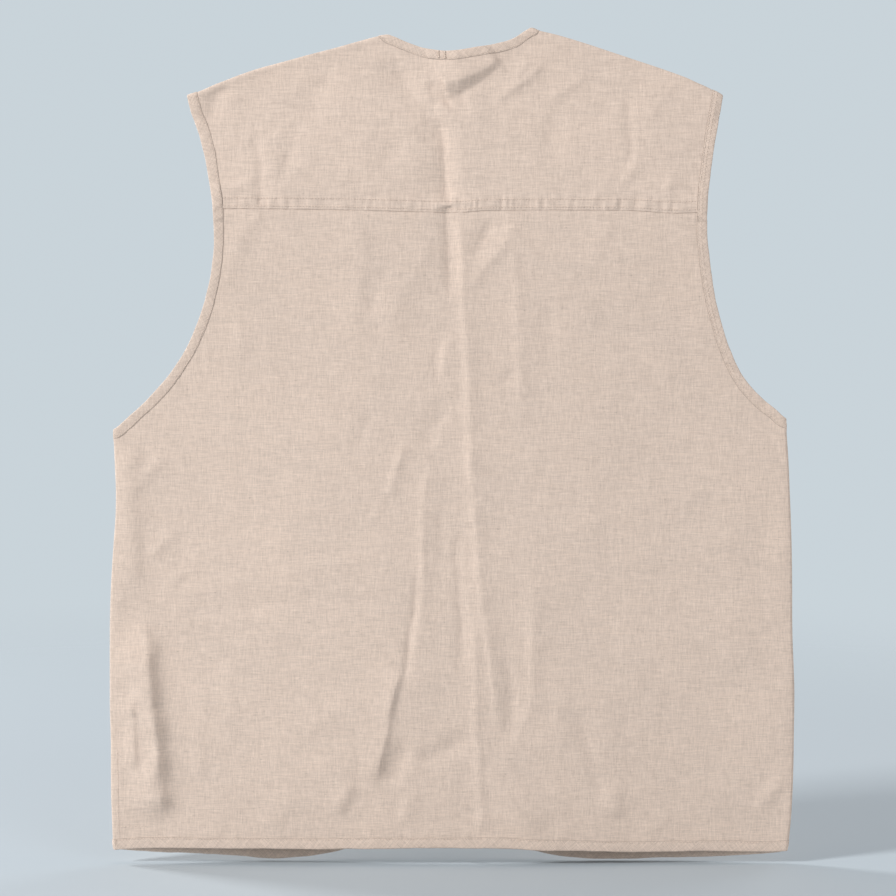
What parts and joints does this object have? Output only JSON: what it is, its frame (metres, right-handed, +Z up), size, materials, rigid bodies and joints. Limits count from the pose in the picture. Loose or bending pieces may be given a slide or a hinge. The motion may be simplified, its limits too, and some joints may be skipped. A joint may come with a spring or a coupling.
{
  "type": "fishing vest",
  "caption": "Sleeveless zip-front fishing vest with a yoke, bound edges, snap-flap bellows pockets, a tool ring and an inside hang loop.",
  "frame": {"origin": "bottom centre of the bounding box, under the centre of the vest at the height of the lowest point of the front hem", "axes": "+Z up along the body length, +X towards the wearer's right side seam, +Y out of the zip front, so the back faces -Y"},
  "size_m": [0.6074, 0.0424, 0.735],
  "materials": {
    "linen_cloth": "matt beige plain-weave linen and cotton, visible slubs, lightly creased",
    "edge_binding": "the same cloth cut on the bias, single topstitched",
    "facing_cloth": "matt beige plain weave, inside of the garment",
    "zip_tape": "tightly woven tape with a fine rib",
    "webbing_tape": "narrow herringbone tape",
    "zip_moulding": "moulded acetal, satin, tan",
    "snap_metal": "antique brass, brushed on the high points",
    "slider_metal": "antique brass, worn edges",
    "ring_metal": "antique brass, satin"
  },
  "bodies": {
    "back": {"back_panel": "linen_cloth", "back_yoke": "linen_cloth", "left_front_side": "linen_cloth", "right_front_side": "linen_cloth", "left_armhole_binding": "edge_binding", "right_armhole_binding": "edge_binding", "neck_binding": "edge_binding", "back_hem_binding": "edge_binding", "left_side_seam": "facing_cloth", "right_side_seam": "facing_cloth", "hang_loop": "webbing_tape"},
    "left_front": {"left_front_panel": "linen_cloth", "left_neck_binding": "edge_binding", "left_hem_binding": "edge_binding", "left_front_facing": "facing_cloth", "left_zip_tape": "zip_tape", "left_zip_teeth": "zip_moulding", "left_top_stop": "zip_moulding", "zip_insert_pin": "zip_moulding", "left_chest_pocket": "linen_cloth", "left_lower_pocket": "linen_cloth", "tool_ring_tab": "webbing_tape", "left_chest_snap_stud": "snap_metal", "left_chest_snap_post": "snap_metal", "left_lower_snap_stud": "snap_metal", "left_lower_snap_post": "snap_metal"},
    "right_front": {"right_front_panel": "linen_cloth", "right_neck_binding": "edge_binding", "right_hem_binding": "edge_binding", "right_front_facing": "facing_cloth", "right_zip_tape": "zip_tape", "right_zip_teeth": "zip_moulding", "right_top_stop": "zip_moulding", "zip_retainer_box": "zip_moulding", "right_chest_pocket": "linen_cloth", "right_lower_pocket": "linen_cloth", "right_chest_snap_stud": "snap_metal", "right_chest_snap_post": "snap_metal", "right_lower_snap_stud": "snap_metal", "right_lower_snap_post": "snap_metal"},
    "left_chest_flap": {"left_chest_flap": "linen_cloth", "left_chest_snap_cap": "snap_metal", "left_chest_snap_socket": "snap_metal"},
    "right_chest_flap": {"right_chest_flap": "linen_cloth", "right_chest_snap_cap": "snap_metal", "right_chest_snap_socket": "snap_metal"},
    "left_lower_flap": {"left_lower_flap": "linen_cloth", "left_lower_snap_cap": "snap_metal", "left_lower_snap_socket": "snap_metal"},
    "right_lower_flap": {"right_lower_flap": "linen_cloth", "right_lower_snap_cap": "snap_metal", "right_lower_snap_socket": "snap_metal"},
    "zip_slider": {"zip_slider": "slider_metal"},
    "zip_pull": {"zip_pull": "slider_metal"},
    "tool_ring": {"tool_ring": "ring_metal"}
  },
  "joints": [
    {"name": "right_front_fold", "type": "hinge", "parent": "back", "child": "right_front", "pos_m": [0.05746, 0.0041, 0.68728], "axis": [0.3255, 0, -0.9455], "range_deg": [0, 100]},
    {"name": "left_front_fold", "type": "hinge", "parent": "back", "child": "left_front", "pos_m": [-0.05746, 0.0041, 0.68728], "axis": [0.3255, 0, 0.9455], "range_deg": [0, 100]},
    {"name": "left_chest_flap_hinge", "type": "hinge", "parent": "left_front", "child": "left_chest_flap", "pos_m": [0, 0.0056, 0.4637], "axis": [1, 0, 0], "range_deg": [0, 100]},
    {"name": "left_lower_flap_hinge", "type": "hinge", "parent": "left_front", "child": "left_lower_flap", "pos_m": [0, 0.0056, 0.2967], "axis": [1, 0, 0], "range_deg": [0, 90]},
    {"name": "right_chest_flap_hinge", "type": "hinge", "parent": "right_front", "child": "right_chest_flap", "pos_m": [0, 0.0056, 0.4637], "axis": [1, 0, 0], "range_deg": [0, 100]},
    {"name": "right_lower_flap_hinge", "type": "hinge", "parent": "right_front", "child": "right_lower_flap", "pos_m": [0, 0.0056, 0.2967], "axis": [1, 0, 0], "range_deg": [0, 90]},
    {"name": "zip_slider_slide", "type": "slide", "parent": "right_front", "child": "zip_slider", "axis": [0, 0, 1], "range_m": [0, 0.446]},
    {"name": "zip_pull_hinge", "type": "hinge", "parent": "zip_slider", "child": "zip_pull", "pos_m": [0.00315, 0.0064, 0.033], "axis": [1, 0, 0], "range_deg": [0, 150]},
    {"name": "tool_ring_hinge", "type": "hinge", "parent": "left_front", "child": "tool_ring", "pos_m": [-0.07, 0.0083, 0.5585], "axis": [1, 0, 0], "range_deg": [0, 120]}
  ]
}
